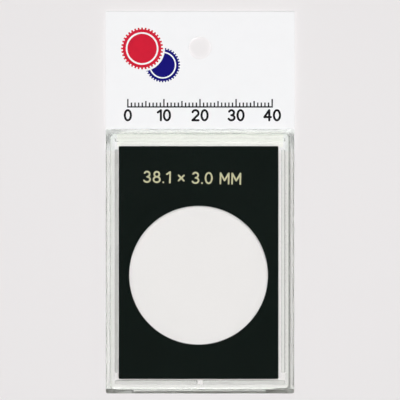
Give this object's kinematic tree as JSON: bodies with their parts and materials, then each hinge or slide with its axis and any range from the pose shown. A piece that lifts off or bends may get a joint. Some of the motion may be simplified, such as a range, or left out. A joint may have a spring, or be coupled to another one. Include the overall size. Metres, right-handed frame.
{
  "type": "coin display case",
  "caption": "Clear nested cover and tray that hold a black insert with a round coin hole, with a folded white card bonded behind the top edge to hang it from a peg.",
  "frame": {"origin": "middle of the whole outline, on the surface that the case and its card lie on", "axes": "+X to the right and +Y up towards the hang hole as the holder is read, +Z out of the front of the case"},
  "size_m": [0.0524, 0.1058, 0.0066],
  "materials": {
    "clear_plastic": "clear moulded polystyrene, polished",
    "black_plastic": "satin black with a fine moulded grain",
    "white_board": "white coated board",
    "adhesive": "double-sided adhesive strip",
    "gold_foil": "hot-stamped gold foil",
    "red_ink": "printed ink",
    "blue_ink": "printed ink",
    "black_ink": "printed ink"
  },
  "bodies": {
    "tray": {"back_shell": "clear_plastic", "header_card": "white_board", "adhesive_strip": "adhesive"},
    "cover": {"front_shell": "clear_plastic"},
    "insert": {"coin_insert": "black_plastic"}
  },
  "joints": [
    {"name": "cover_lift", "type": "slide", "parent": "tray", "child": "cover", "axis": [0, 0, 1], "range_m": [0, 0.03]},
    {"name": "insert_lift", "type": "slide", "parent": "tray", "child": "insert", "axis": [0, 0, 1], "range_m": [0, 0.015]}
  ],
  "couplings": [
    {"joint": "insert_lift", "follows": "cover_lift", "ratio": 0.5}
  ]
}
